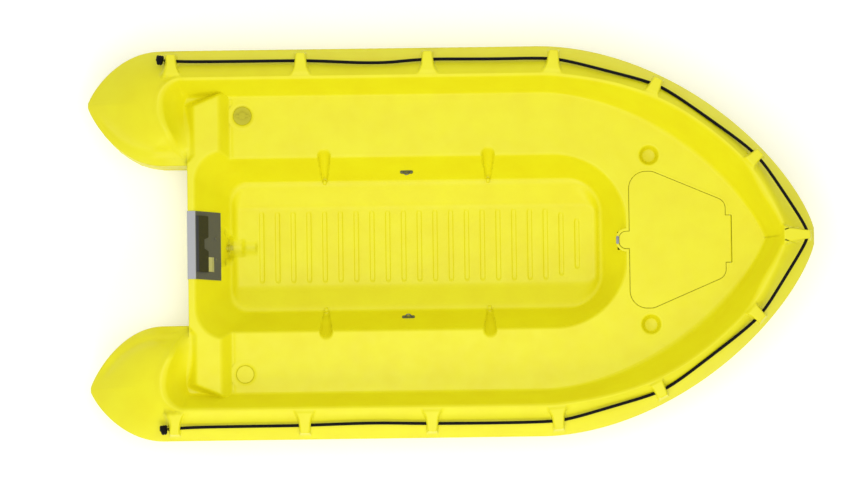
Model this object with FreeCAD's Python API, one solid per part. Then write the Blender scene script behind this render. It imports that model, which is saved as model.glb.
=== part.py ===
import FreeCAD, Part
import math
import os

from FreeCAD import Vector

# A rigid twin-skin polyethylene tender: a lower hull with three keels and two pointed tails, a deck
# moulding with side benches, a ribbed well and a foredeck locker, foam between the skins, a transom
# for a small outboard and a grab line threaded through thirteen moulded lugs.
# Millimetres. +X is forward, +Y is port, +Z is up, and the origin is under the middle of the hull.

os.makedirs("parts", exist_ok=True)

# Hull outline
HALF_LENGTH = 1600.0
HALF_BEAM = 862.0
BOW_START = 400.0
BOW_LENGTH = 1204.0
BOW_FULLNESS = (1.85, 0.7)
TRANSOM_X = -1156.0
TAIL_LENGTH = 330.0
TAIL_HALF_WIDTH = 254.0
TAIL_CENTRE = 608.0
TAIL_TIP_SPREAD = 21.0
WALL = 5.0

# Heights
CREST_Z = 500.0
BOW_RISE = 100.0
SHEER_START = 200.0
BENCH_Z = 360.0
TRANSOM_Z = 420.0
SHELF_Z = 190.0
FLOOR_Z = 150.0
TAIL_DROP = 170.0
TAIL_BOTTOM_RISE = 230.0
TAIL_SHEER_X = -1150.0
STEM_RISE = 330.0
SIDE_KEEL_RISE = 300.0
TUNNEL_RISE = 110.0
CLEAR_ABOVE = 640.0

# Gunwale
RIM_WIDTH = 139.0
RIM_DROP = 130.0
RIM_POWER = 1.5
FOOT_INSET = 204.0
SIDE_FOOT_Y = 658.0
TRAY_AFT = [(-1125, 330, 0, 0), (-1150, 430, -0.315, -0.108), (-1168, 500, -0.446, 0),
            (-1176, 590, -0.592, 0.27), (-1166, 645, -0.354, 0.446)]

# Well
WELL_AFT_FOOT = -975.0
WELL_FRONT_FOOT = 672.0
WELL_FOOT_HALF = 289.0
WELL_EDGE_HALF = 383.0
TRANSOM_SLOPE = 0.652
BAND_EDGE_HALF = 268.0
FLOOR_HALF = 178.0
FLOOR_AFT = -960.0
FLOOR_FRONT = 655.0
RIB_COUNT = 21
RIB_PITCH = 70.1
RIB_FIRST_X = -838.0
RIB_WIDTH = 16.0
RIB_HALF = 156.0
RIB_DEPTH = 2.5
SHORT_RIBS = {19: 138.0, 20: 109.0}

# Locker and its lid
LID_GAP = 2.5
LID_THICK = 12.0
LID_TOP = BENCH_Z - 0.5
LID_OUTLINE = [(791, 301, 75), (791, 37, 3), (745, 37, 30), (745, -37, 30), (791, -37, 3),
               (791, -301, 75), (893, -301, 60), (1213, -165, 45), (1213, -103, 2),
               (1236, -103, 2), (1236, 103, 2), (1213, 103, 2), (1213, 165, 45), (893, 301, 60)]
LOCKER_OUTLINE = [(812, 262, 55), (812, -262, 55), (890, -262, 50), (1188, -130, 45),
                  (1188, 130, 45), (890, 262, 50)]
LOCKER_FLOOR = 230.0
SEAL_HEIGHT = 4.0
SEAL_WIDTH = 9.0
SEAL_INSET = 2.0
SEAL_CLEARANCE = 0.4
LIP_DEPTH = 16.0
LIP_THICK = 4.0
BARREL_HALF = 103.0
HINGE_X = 1234.0
HINGE_R = 6.0
HINGE_ROOM, HINGE_ROOM_HALF = 8.0, 105.5
PIN_R = 4.0
PIN_HALF = 110.0
RUNNING = 0.05

# Round fittings in the benches and the foredeck
BUNG_X, BUNG_Y = -912.0, 571.0
BUNG_HEAD_R, BUNG_BODY_R = 40.0, 25.0
CAP_R = 37.0
CAP_THICK = 3.0
CUP_X, CUP_Y = 881.0, 374.0
CUP_R, CUP_FLOOR_R, CUP_DEPTH = 41.5, 31.0, 45.0

# Drain
DRAIN_Z = 152.0
DRAIN_R, DRAIN_BORE_R = 15.0, 12.0
SUMP_X, SUMP_TIP_X, SUMP_HALF = -985.0, -866.0, 38.0

# Grab line
ROPE_D = 14.0
LUG_STATIONS = [-1222.0, -651.0, -92.0, 466.0, 936.0, 1382.0]
LUG_TOP = 2.0
LUG_DEPTH = 112.0
LUG_PLAN = [(122.0, 46.0), (104.0, 36.0), (84.0, 28.0), (24.0, 22.0)]
BOW_LUG_PLAN = [(1578.0, 21.0), (1490.0, 30.0), (1455.0, 46.0)]
KNOT_LENGTH, KNOT_R, KNOT_ROUND = 34.0, 21.0, 12.0
ROPE_CLEARANCE = 5.0
ROPE_POINTS = [
    (-1250, 812, 460), (-1196, 806, 461), (-975, 804, 463), (-700, 804, 462), (-600, 803, 463),
    (-312, 784, 484), (-140, 801, 464), (-45, 803, 463), (190, 799, 468), (420, 801, 466),
    (510, 790, 475), (695, 738, 498), (880, 688, 489), (965, 648, 493), (1135, 523, 526),
    (1300, 398, 535), (1370, 328, 546), (1455, 193, 586), (1540, 58, 588), (1566, 0, 580),
    (1540, -58, 588), (1455, -193, 586), (1370, -328, 546), (1300, -398, 535), (1135, -523, 526),
    (965, -648, 493), (880, -688, 489), (695, -740, 498), (510, -791, 475), (420, -801, 466),
    (190, -803, 466), (-45, -802, 464), (-140, -801, 464), (-350, -795, 473), (-600, -801, 464),
    (-700, -803, 463), (-975, -803, 464), (-1196, -805, 461), (-1250, -812, 460)]

# Transom fittings
PLATE_HALF, PLATE_THICK = 150.0, 3.0
PLATE_AFT_Z, PLATE_INNER_Z = 270.0, 259.0
CORE_HALF, CORE_THICK = 300.0, 28.0
PAD_Y = (-118.0, 130.0)
SCREW_R, SCREW_HEAD_R, SCREW_HEAD = 2.4, 5.0, 2.6

# Flotation blocks between the skins: lowest and highest corners, cut to the cavity's shape
SIDE_FOAM = (Vector(-700, 470, 0), Vector(500, 735, 235))
FLOOR_FOAM = (Vector(-700, -230, 0), Vector(500, 230, 120))
BOW_FOAM = (Vector(830, -190, 0), Vector(1150, 190, 215))

# Lashing points on the well's sides
SCOOP_X = (-554.0, 171.0)
SCOOP_R = 27.0
NOTCH_AFT_HALF, NOTCH_HALF = 345.0, 376.0
BLOCK_AFT, BLOCK_FRONT, BLOCK_FOOT, BLOCK_WIDTH = -1122.0, -1015.0, -972.0, 286.0
EYE_Y, EYE_R, EYE_THICK, EYE_HOLE_R = 284.0, 11.0, 14.0, 5.0
LATCH_X = 737.0
PAD_EYE_X = -190.0
PAD_EYE_LENGTH, PAD_EYE_WIDTH, PAD_EYE_THICK = 57.0, 26.0, 2.0

HULL_STATIONS = [-1597, -1575, -1530, -1460, -1370, -1270, -1150, 200, 450, 650, 820, 980, 1120,
                 1240, 1350, 1440, 1500, 1550, 1585, 1597]
SIDE_STATIONS = [450, 600, 750, 890, 1020, 1140, 1250, 1350, 1440, 1510, 1560]


# ---- The hull's lines --------------------------------------------------------------------------
def tail_reach(x):
    return min(1.0, max(0.0, (x + HALF_LENGTH) / TAIL_LENGTH))


def tail_half_width(x):
    return TAIL_HALF_WIDTH * (1 - (1 - tail_reach(x)) ** 2) ** 0.8


def tail_centre(x):
    return TAIL_CENTRE + TAIL_TIP_SPREAD * (1 - tail_reach(x)) ** 2


def half_beam(x):
    """Half breadth at the hull's widest line."""
    if x > BOW_START:
        power, fullness = BOW_FULLNESS
        return HALF_BEAM * (1 - ((x - BOW_START) / BOW_LENGTH) ** power) ** fullness
    return tail_centre(x) + tail_half_width(x)


def crest_z(x):
    """Top of the gunwale, falling over the tails and rising to the bow."""
    if x > SHEER_START:
        return CREST_Z + BOW_RISE * ((x - SHEER_START) / (HALF_LENGTH - SHEER_START)) ** 2
    if x < TAIL_SHEER_X:
        return CREST_Z - TAIL_DROP * ((TAIL_SHEER_X - x) / (HALF_LENGTH + TAIL_SHEER_X)) ** 2
    return CREST_Z


def bottom_z(x):
    """Underside of the middle keel."""
    if x > 600:
        return STEM_RISE * ((x - 600) / 1000) ** 2.4
    if x < TAIL_SHEER_X:
        return TAIL_BOTTOM_RISE * ((TAIL_SHEER_X - x) / (HALF_LENGTH + TAIL_SHEER_X)) ** 2
    return 0.0


def rim_drop(x):
    """Height from the widest line up to the crest, which shrinks at the tail tips."""
    return RIM_DROP * min(1.0, 0.25 + 0.75 * tail_reach(x))


def side_keel_z(x):
    rise = SIDE_KEEL_RISE * max(0.0, (x - 300) / 1000) ** 2
    return min(max(rise, bottom_z(x)), crest_z(x) - RIM_DROP - 70)


def half_section(x):
    """Half of the outside at one station, from beside the keel out and up to the crest."""
    beam = half_beam(x)
    narrow = beam / HALF_BEAM
    keel, side, top = bottom_z(x), side_keel_z(x), crest_z(x)
    fade = min(1.0, max(0.0, (x - 300) / 900))
    tail_fade = min(1.0, tail_reach(x))
    tunnel = (keel + side) / 2 + TUNNEL_RISE * (1 - fade) * tail_fade
    edge = top - rim_drop(x)
    chine = side + (edge - side) * 0.3
    low = [(60 * narrow, keel), (150 * narrow, keel + (tunnel - keel) * 0.16),
           (420 * narrow, tunnel), (590 * narrow, side), (690 * narrow, side),
           (820 * narrow, chine), (beam, edge)]
    reach = min(RIM_WIDTH, max(6.0, HALF_LENGTH + 4 - x) if x > BOW_START else RIM_WIDTH,
                0.9 * beam)
    rim = []
    for share in (0.3, 0.62, 1.0):
        inset = reach * share
        fall = rim_drop(x) * (1 - inset / RIM_WIDTH) ** RIM_POWER
        rim.append((beam - inset, top - fall))
    return low + rim


def full_section(x):
    half = half_section(x)
    return half + [(-y, z) for y, z in reversed(half)]


def inset_polygon(points, distance):
    """Move every edge of an anticlockwise outline inwards by one distance."""
    moved = []
    for i, (x, y) in enumerate(points):
        (ax, ay), (bx, by) = points[i - 1], points[(i + 1) % len(points)]
        first, second = math.hypot(x - ax, y - ay), math.hypot(bx - x, by - y)
        n1 = (-(y - ay) / first, (x - ax) / first)
        n2 = (-(by - y) / second, (bx - x) / second)
        share = distance / (1 + n1[0] * n2[0] + n1[1] * n2[1])
        moved.append((x + (n1[0] + n2[0]) * share, y + (n1[1] + n2[1]) * share))
    return moved


def section_wire(x, points):
    corners = [Vector(x, y, z) for y, z in points]
    return Part.makePolygon(corners + corners[:1])


def plan_wire(points, z):
    corners = [Vector(x, y, z) for x, y in points]
    return Part.makePolygon(corners + corners[:1])


def envelope(inset):
    """The whole outside as one solid, or the same drawn in by a skin's thickness."""
    stations = HULL_STATIONS
    if inset:
        stations = [-1560] + [x for x in HULL_STATIONS if -1550 < x < 1560]
    wires = [section_wire(x, inset_polygon(full_section(x), inset)) for x in stations]
    return Part.makeLoft(wires, True, True)


def gap_between_tails(grow):
    """The open space behind the transom, flared where the tails' backs round over."""
    stations = [TRANSOM_X, -1270, -1370, -1460, -1530, -1575, -1597]
    side = [(x, tail_centre(x) - tail_half_width(x)) for x in stations] + [(-1660, 615)]
    flared = [(x, y + min(105, 0.5 * tail_half_width(x))) for x, y in side]
    low = inset_polygon(side[::-1] + [(x, -y) for x, y in side], grow)
    high = inset_polygon(flared[::-1] + [(x, -y) for x, y in flared], grow)
    lower = Part.makeLoft([plan_wire(low, -20), plan_wire(low, 330)], True, True)
    upper = Part.makeLoft([plan_wire(low, 330), plan_wire(high, 510)], True, True)
    return lower.fuse(upper)


def inward(x):
    """Unit vector from the outline at one station towards the inside, in plan."""
    slope = (half_beam(x + 1) - half_beam(x - 1)) / 2
    length = math.hypot(1, slope)
    return slope / length, -1 / length


def tray_side(level):
    """Port edge of the tray's cut at a height: the inner wall's foot line moved up its slope.

    TRAY_AFT rows are the foot's x and y in the tail and how far each moves per millimetre up."""
    rise = level - BENCH_Z
    run = (FOOT_INSET - RIM_WIDTH) / (CREST_Z - BENCH_Z)
    side = [(x + dx * rise, y + dy * rise) for x, y, dx, dy in TRAY_AFT]
    side += [(TAIL_SHEER_X, SIDE_FOOT_Y + run * rise), (SHEER_START, SIDE_FOOT_Y + run * rise)]
    for x in SIDE_STATIONS:
        slope = (FOOT_INSET - RIM_WIDTH) / (crest_z(x) - BENCH_Z)
        inset = FOOT_INSET - slope * rise
        nx, ny = inward(x)
        side.append((x + nx * inset, half_beam(x) + ny * inset))
    bow_slope = (FOOT_INSET - RIM_WIDTH) / (CREST_Z + BOW_RISE - BENCH_Z)
    return side, HALF_LENGTH - FOOT_INSET + bow_slope * rise


def tray(grow):
    """Everything open above the benches and the foredeck, inside the gunwale."""
    wires = []
    for level in (BENCH_Z, CLEAR_ABOVE):
        side, bow = tray_side(level)
        outline = [(x, -y) for x, y in side] + [(bow, 0)] + side[::-1]
        drop = grow if level == BENCH_Z else 0
        wires.append(plan_wire(inset_polygon(outline, -grow), level - drop))
    return Part.makeLoft(wires, True, True)


def rounded_wire(corners, z):
    """A closed wire through (x, y, radius) corners, each rounded by a tangent arc."""
    edges, ends = [], []
    for i, (x, y, radius) in enumerate(corners):
        corner = Vector(x, y, z)
        back = (Vector(*corners[i - 1][:2], z) - corner).normalize()
        on = (Vector(*corners[(i + 1) % len(corners)][:2], z) - corner).normalize()
        half = back.getAngle(on) / 2
        middle = (back + on).normalize()
        centre = corner + middle * (radius / math.sin(half))
        start, end = corner + back * (radius / math.tan(half)), corner + on * (radius / math.tan(half))
        ends.append((start, end))
        edges.append(Part.Arc(start, centre - middle * radius, end).toShape())
    for i, (start, _) in enumerate(ends):
        edges.append(Part.LineSegment(ends[i - 1][1], start).toShape())
    return Part.Wire(Part.__sortEdges__(edges))


def rounded_box(x_aft, x_front, half, aft_radius, front_radius, z):
    return rounded_wire([(x_aft, -half, aft_radius), (x_front, -half, front_radius),
                         (x_front, half, front_radius), (x_aft, half, aft_radius)], z)


def grown_prism(corners, grow, low, high):
    """A rounded outline's prism, grown sideways by offsetting its straight sides."""
    plain = inset_polygon([(x, y) for x, y, _ in corners], -grow)
    moved = [(x, y, max(0.5, r + grow)) if convex else (x, y, max(0.5, r - grow))
             for (x, y), (_, _, r), convex in zip(plain, corners, convexity(corners))]
    return Part.Face(rounded_wire(moved, low)).extrude(Vector(0, 0, high - low))


def convexity(corners):
    turns = []
    for i, (x, y, _) in enumerate(corners):
        (ax, ay, _), (bx, by, _) = corners[i - 1], corners[(i + 1) % len(corners)]
        turns.append((x - ax) * (by - y) - (y - ay) * (bx - x) > 0)
    return turns


def well(grow):
    """The ribbed well: sloping walls to a narrow shelf, then a band down to the floor."""
    wires = []
    for z in (SHELF_Z, TRANSOM_Z + 10):
        rise = z - SHELF_Z
        wires.append(rounded_box(WELL_AFT_FOOT - TRANSOM_SLOPE * rise - grow,
                                 WELL_FRONT_FOOT + 0.6235 * rise + grow,
                                 WELL_FOOT_HALF + 0.553 * rise + grow,
                                 80 + 0.25 * rise + grow, 150 + rise + grow,
                                 z - (grow if z == SHELF_Z else 0)))
    band = Part.makeLoft(
        [rounded_box(FLOOR_AFT - grow, FLOOR_FRONT + grow, FLOOR_HALF + grow, 30, 60,
                     FLOOR_Z - grow),
         rounded_box(FLOOR_AFT - 5 - grow, FLOOR_FRONT + 5 + grow, BAND_EDGE_HALF + grow, 70, 130,
                     SHELF_Z + 1)], True, True)
    return Part.makeLoft(wires, True, True).fuse(band)


def sump(grow):
    corners = [(SUMP_X, -SUMP_HALF), (SUMP_TIP_X, 0), (SUMP_X, SUMP_HALF)]
    low = FLOOR_Z - 17 - grow
    outline = inset_polygon(corners, -grow)
    return Part.Face(plan_wire(outline, low)).extrude(Vector(0, 0, SHELF_Z + 10 - low))


def scoops(grow):
    """Half-round hollows in the well's sides, for lashing straps."""
    cuts = []
    for x in SCOOP_X:
        for side in (1, -1):
            foot = Vector(x, side * (WELL_FOOT_HALF + 6), SHELF_Z)
            lean = Vector(0, side * (WELL_EDGE_HALF - WELL_FOOT_HALF), BENCH_Z - SHELF_Z)
            cuts.append(Part.makeCone(12 + grow, SCOOP_R + grow, lean.Length + 20, foot, lean))
    return cuts


def cups(grow):
    cuts = []
    for side in (1, -1):
        foot = Vector(CUP_X, side * CUP_Y, BENCH_Z - CUP_DEPTH - grow)
        cuts.append(Part.makeCone(CUP_FLOOR_R + grow, CUP_R + grow, CUP_DEPTH + grow, foot))
    return cuts


def locker(grow):
    """The lid's recess and the bin under it."""
    rabbet = grown_prism(LID_OUTLINE, LID_GAP + grow,
                         LID_TOP - LID_THICK - SEAL_HEIGHT - grow, BENCH_Z + 1)
    pocket = grown_prism(LOCKER_OUTLINE, grow, LOCKER_FLOOR - grow, BENCH_Z)
    base = LID_TOP - LID_THICK - SEAL_HEIGHT - grow
    half = HINGE_ROOM_HALF + grow
    knuckle_room = Part.makeBox(HINGE_ROOM + grow, 2 * half, BENCH_Z + 1 - base,
                                Vector(HINGE_X, -half, base))
    return [rabbet, pocket, knuckle_room]


def transom_notch():
    """Opens the space over the transom to the tray and to the gap behind it."""
    behind = Part.makeBox(40, 2 * NOTCH_AFT_HALF, 300,
                          Vector(TRANSOM_X - 40, -NOTCH_AFT_HALF, TRANSOM_Z))
    over = Part.makeBox(80, 2 * NOTCH_HALF, 300, Vector(TRANSOM_X, -NOTCH_HALF, TRANSOM_Z))
    return behind.fuse(over)


def openings(grow):
    return [gap_between_tails(-grow), tray(grow), well(grow), sump(grow), *scoops(grow),
            *cups(grow), *locker(grow)]


# ---- Skins, foam and core ----------------------------------------------------------------------
def below_rim():
    """Everything under the widest line, which is where the two skins are welded."""
    line = [(x, crest_z(x) - rim_drop(x) - 3) for x in HULL_STATIONS]
    corners = [(-1700, line[0][1])] + line + [(1700, line[-1][1]), (1700, -50), (-1700, -50)]
    points = [Vector(x, -1000, z) for x, z in corners]
    return Part.Face(Part.makePolygon(points + points[:1])).extrude(Vector(0, 2000, 0))


def lug(x):
    """One moulded rope lug, a flat-topped buttress standing out over the gunwale's slope."""
    nx, ny = inward(x)
    top = crest_z(x) + LUG_TOP
    corners = []
    for inset, half in LUG_PLAN + [(inset, -half) for inset, half in LUG_PLAN[::-1]]:
        corners.append((x + nx * inset - ny * half, half_beam(x) + ny * inset + nx * half))
    return Part.Face(plan_wire(corners, top - LUG_DEPTH)).extrude(Vector(0, 0, LUG_DEPTH))


def bow_lug():
    base = crest_z(BOW_LUG_PLAN[0][0]) - LUG_DEPTH
    corners = [(x, -y) for x, y in BOW_LUG_PLAN[::-1]] + BOW_LUG_PLAN
    return Part.Face(plan_wire(corners, base)).extrude(Vector(0, 0, LUG_DEPTH))


def lugs():
    port = [lug(x) for x in LUG_STATIONS]
    starboard = [piece.mirror(Vector(0, 0, 0), Vector(0, 1, 0)) for piece in port]
    return port + starboard + [bow_lug()]


def side_block(side, grow):
    """The raised block that crosses each bench just forward of the transom."""
    aft, front, foot = BLOCK_AFT + grow, BLOCK_FRONT - grow, BLOCK_FOOT - grow
    low, top = BENCH_Z - 3 - grow, TRANSOM_Z - grow
    corners = [Vector(aft, 0, low), Vector(foot, 0, low), Vector(front, 0, top),
               Vector(aft, 0, top)]
    width = BLOCK_WIDTH - 2 * grow
    start = NOTCH_HALF + grow if side > 0 else -NOTCH_HALF - grow - width
    prism = Part.Face(Part.makePolygon(corners + corners[:1])).extrude(Vector(0, width, 0))
    return prism.translated(Vector(0, start, 0))


def lashing_bosses():
    """Small moulded eyes at the foot of each scoop."""
    eyes = []
    for x in SCOOP_X:
        for side in (1, -1):
            aft, y = x - EYE_THICK / 2, side * EYE_Y
            eye = Part.makeCylinder(EYE_R, EYE_THICK, Vector(aft, y, SHELF_Z + 6), Vector(1, 0, 0))
            foot = Part.makeBox(EYE_THICK, 2 * EYE_R, 10, Vector(aft, y - EYE_R, SHELF_Z - 3))
            hole = Part.makeCylinder(EYE_HOLE_R, EYE_THICK, Vector(aft, y, SHELF_Z + 9),
                                     Vector(1, 0, 0))
            eyes.append(eye.fuse(foot).cut(hole))
    return eyes


def rib_grooves():
    grooves = []
    for i in range(RIB_COUNT):
        half = SHORT_RIBS.get(i, RIB_HALF)
        corner = Vector(RIB_FIRST_X + i * RIB_PITCH - RIB_WIDTH / 2, -half, FLOOR_Z - RIB_DEPTH)
        grooves.append(Part.makeBox(RIB_WIDTH, 2 * half, RIB_DEPTH + 1, corner))
    return grooves


# ---- Grab line ---------------------------------------------------------------------------------
def cord_wire(points):
    """Straight runs joined by tangent arcs, each as large as its two runs allow."""
    edges, radii, start = [], [], points[0]
    for before, corner, after in zip(points, points[1:], points[2:]):
        back, on = before - corner, after - corner
        reach = 0.45 * min(back.Length, on.Length)
        back.normalize()
        on.normalize()
        half_turn = (math.pi - back.getAngle(on)) / 2
        radius = reach / math.tan(half_turn)
        middle = (back + on).normalize()
        centre = corner + middle * (radius / math.cos(half_turn))
        first, last = corner + back * reach, corner + on * reach
        edges.append(Part.LineSegment(start, first).toShape())
        edges.append(Part.Arc(first, centre - middle * radius, last).toShape())
        radii.append(radius)
        start = last
    edges.append(Part.LineSegment(start, points[-1]).toShape())
    return Part.Wire(edges), radii


def cord_tube(wire, diameter):
    start = wire.Edges[0]
    direction = start.tangentAt(start.FirstParameter)
    ring = Part.Wire(Part.makeCircle(diameter / 2, start.valueAt(start.FirstParameter), direction))
    return wire.makePipeShell([ring], True, False)


def knot(end, towards):
    """A plain closed form for the stopper knot: a barrel with rounded ends on the rope's line."""
    along = (end - towards).normalize()
    body = Part.makeCylinder(KNOT_R, KNOT_LENGTH, end, along)
    return body.makeFillet(KNOT_ROUND, [e for e in body.Edges if isinstance(e.Curve, Part.Circle)])


# ---- Fittings ----------------------------------------------------------------------------------
def along_y(points, low, high):
    """A profile of (x, z) corners carried across the boat."""
    corners = [Vector(x, low, z) for x, z in points]
    return Part.Face(Part.makePolygon(corners + corners[:1])).extrude(Vector(0, high - low, 0))


def slope_x(z, proud=0.0):
    """X of the transom's inner slope at a height, or of a face standing proud of it."""
    return WELL_AFT_FOOT - TRANSOM_SLOPE * (z - SHELF_Z) + proud * math.hypot(1, TRANSOM_SLOPE)


def transom_plate():
    t = PLATE_THICK
    profile = [(TRANSOM_X - t, PLATE_AFT_Z), (TRANSOM_X, PLATE_AFT_Z), (TRANSOM_X, TRANSOM_Z),
               (slope_x(TRANSOM_Z), TRANSOM_Z), (slope_x(PLATE_INNER_Z), PLATE_INNER_Z),
               (slope_x(PLATE_INNER_Z, t), PLATE_INNER_Z), (slope_x(TRANSOM_Z + t, t), TRANSOM_Z + t),
               (TRANSOM_X - t, TRANSOM_Z + t)]
    return along_y(profile, -PLATE_HALF, PLATE_HALF)


def clamp_pad():
    """The dark board that an outboard's clamps bite on, with a notch in its lower edge."""
    low, high, under, over = 352.0, 414.0, PLATE_THICK, PLATE_THICK + 8
    profile = [(slope_x(low, under), low), (slope_x(low, over), low),
               (slope_x(high, over), high), (slope_x(high, under), high)]
    board = along_y(profile, *PAD_Y)
    notch = [Vector(-1200, -30, 340), Vector(-1200, 42, 340), Vector(-1200, 26, 378),
             Vector(-1200, -14, 378)]
    cut = Part.Face(Part.makePolygon(notch + notch[:1])).extrude(Vector(200, 0, 0))
    return board.cut(cut)


def data_plate():
    under, over = PLATE_THICK, PLATE_THICK + 1
    profile = [(slope_x(306, under), 306), (slope_x(306, over), 306),
               (slope_x(342, over), 342), (slope_x(342, under), 342)]
    return along_y(profile, -114, -50)


def screw(head_base, outward, length):
    head = Part.makeCylinder(SCREW_HEAD_R, SCREW_HEAD, head_base, outward)
    head = head.makeFillet(1.2, [head.Edges[0]])
    shank = Part.makeCylinder(SCREW_R, length, head_base, outward * -1)
    return head.fuse(shank).removeSplitter()


def plate_screws():
    slope_out = Vector(1, 0, TRANSOM_SLOPE).normalize()
    seats = [(Vector(slope_x(293, PLATE_THICK), y, 293), slope_out) for y in (34, -58)]
    seats += [(Vector(TRANSOM_X - PLATE_THICK, y, 300), Vector(-1, 0, 0)) for y in (110, -110)]
    return [screw(seat, outward, 20) for seat, outward in seats]


def hatch_lid():
    body = grown_prism(LID_OUTLINE, 0, LID_TOP - LID_THICK, LID_TOP)
    under = LID_TOP - LID_THICK
    lip = grown_prism(LOCKER_OUTLINE, -LIP_THICK, under - LIP_DEPTH, under)
    inside = grown_prism(LOCKER_OUTLINE, -2 * LIP_THICK, under - LIP_DEPTH, under)
    axis_z = LID_TOP - HINGE_R
    corner = Vector(HINGE_X, -PIN_HALF, under - 1)
    square_edge = Part.makeBox(20, 2 * PIN_HALF, LID_THICK + 2, corner)
    barrel = Part.makeCylinder(HINGE_R, 2 * BARREL_HALF, Vector(HINGE_X, -BARREL_HALF, axis_z),
                               Vector(0, 1, 0))
    bore = Part.makeCylinder(PIN_R + RUNNING, 2 * PIN_HALF, Vector(HINGE_X, -PIN_HALF, axis_z),
                             Vector(0, 1, 0))
    return body.cut(square_edge).fuse([barrel, lip.cut(inside)]).cut(bore).removeSplitter()


def hinge_pin():
    start = Vector(HINGE_X, -PIN_HALF, LID_TOP - HINGE_R)
    return Part.makeCylinder(PIN_R, 2 * PIN_HALF, start, Vector(0, 1, 0))


def hatch_seal():
    base = LID_TOP - LID_THICK - SEAL_HEIGHT
    top = base + SEAL_HEIGHT - SEAL_CLEARANCE
    outer = grown_prism(LOCKER_OUTLINE, SEAL_INSET + SEAL_WIDTH, base, top)
    return outer.cut(grown_prism(LOCKER_OUTLINE, SEAL_INSET, base, top))


def latch_button():
    """A stainless turn button that swings over the lid's nose; at rest it stands clear."""
    base = BENCH_Z + 0.6
    ends = [Part.makeCylinder(6, 3, Vector(LATCH_X, y, base)) for y in (-12, 12)]
    bar = Part.makeBox(12, 24, 3, Vector(LATCH_X - 6, -12, base))
    grip = Part.makeCylinder(2.5, 7, Vector(LATCH_X, 12, base + 3))
    hole = Part.makeCylinder(2.5 + RUNNING, 10, Vector(LATCH_X, 0, base - 2))
    return bar.fuse(ends + [grip]).cut(hole).removeSplitter()


def latch_screw():
    seat = Vector(LATCH_X, 0, BENCH_Z + 3.9)
    head = Part.makeCylinder(5, 2.4, seat)
    return head.fuse(Part.makeCylinder(2.5, 20, seat, Vector(0, 0, -1))).removeSplitter()


def drain_tube():
    length = SUMP_X - TRANSOM_X + 4
    start = Vector(TRANSOM_X - 4, 0, DRAIN_Z)
    outer = Part.makeCylinder(DRAIN_R, length - 0.5, start, Vector(1, 0, 0))
    flange = Part.makeCylinder(DRAIN_R + 5, 3, Vector(TRANSOM_X - 3, 0, DRAIN_Z), Vector(1, 0, 0))
    bore = Part.makeCylinder(DRAIN_BORE_R, length + 20, start - Vector(10, 0, 0), Vector(1, 0, 0))
    return outer.fuse(flange).cut(bore).removeSplitter()


def drain_plug():
    seat = Vector(SUMP_X, 0, DRAIN_Z)
    shank = Part.makeCylinder(DRAIN_BORE_R - RUNNING, 24, seat - Vector(23.5, 0, 0), Vector(1, 0, 0))
    head = Part.makeCylinder(17, 6, seat + Vector(0.5, 0, 0), Vector(1, 0, 0))
    head = head.makeFillet(1.5, [head.Edges[0], head.Edges[2]])
    tab = Part.makeBox(14, 20, 5, seat + Vector(6, -10, -2.5))
    return shank.fuse([head, tab]).removeSplitter()


def screw_bung():
    """The port bench's screw-in bung: a flanged head with two finger grips over a stub."""
    base = BENCH_Z + 0.3
    head = Part.makeCylinder(BUNG_HEAD_R, 5, Vector(BUNG_X, BUNG_Y, base))
    head = head.makeFillet(2, [head.Edges[0]])
    stub = Part.makeCylinder(BUNG_BODY_R, 26, Vector(BUNG_X, BUNG_Y, base - 26))
    hub = Part.makeCylinder(16, 5, Vector(BUNG_X, BUNG_Y, base + 5))
    grips = [Part.makeBox(16, 9, 6, Vector(BUNG_X + offset - 8, BUNG_Y - 4.5, base + 5))
             for offset in (-22, 22)]
    return head.fuse([stub, hub] + grips).removeSplitter()


def flush_cap():
    """The starboard bench's push-in cap, level with the bench."""
    disc = Part.makeCylinder(CAP_R, CAP_THICK, Vector(BUNG_X, -BUNG_Y, BENCH_Z - CAP_THICK))
    stub = Part.makeCylinder(BUNG_BODY_R, 20, Vector(BUNG_X, -BUNG_Y, BENCH_Z - 20))
    return disc.fuse(stub).removeSplitter()


def on_well_side(shape, x, side):
    """Stand a shape built on the XY plane on the well's sloping side wall."""
    share = 0.35
    y = WELL_FOOT_HALF + share * (WELL_EDGE_HALF - WELL_FOOT_HALF)
    z = SHELF_Z + share * (BENCH_Z - SHELF_Z)
    lean = math.degrees(math.atan2(BENCH_Z - SHELF_Z, WELL_EDGE_HALF - WELL_FOOT_HALF))
    turned = shape.copy()
    turned.rotate(Vector(0, 0, 0), Vector(1, 0, 0), side * lean)
    turned.translate(Vector(x, side * y, z))
    return turned


def pad_eye():
    half = PAD_EYE_LENGTH / 2
    plate = Part.makeBox(PAD_EYE_LENGTH, PAD_EYE_WIDTH, PAD_EYE_THICK,
                         Vector(-half, -PAD_EYE_WIDTH / 2, 0))
    corners = [e for e in plate.Edges if abs(e.tangentAt(e.FirstParameter).z) > 0.9]
    plate = plate.makeFillet(9, corners)
    ring = Part.makeTorus(13, 2.5, Vector(0, 0, PAD_EYE_THICK - 1), Vector(0, 1, 0))
    above = Part.makeBox(60, 60, 60, Vector(-30, -30, 0))
    holes = [Part.makeCylinder(SCREW_R, 10, Vector(x, 0, -5)) for x in (-22, 22)]
    return plate.fuse(ring.common(above)).cut(Part.makeCompound(holes)).removeSplitter()


def pad_eye_screws():
    return [screw(Vector(x, 0, PAD_EYE_THICK), Vector(0, 0, 1), 14) for x in (-22, 22)]


# ---- Build -------------------------------------------------------------------------------------
def clean_solid(shape):
    """The largest solid of a result, without slivers."""
    return max(shape.Solids, key=lambda solid: solid.Volume)


def foam_block(corners, cavity):
    low, high = corners
    size = high - low
    return clean_solid(Part.makeBox(size.x, size.y, size.z, low).common(cavity))


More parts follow.
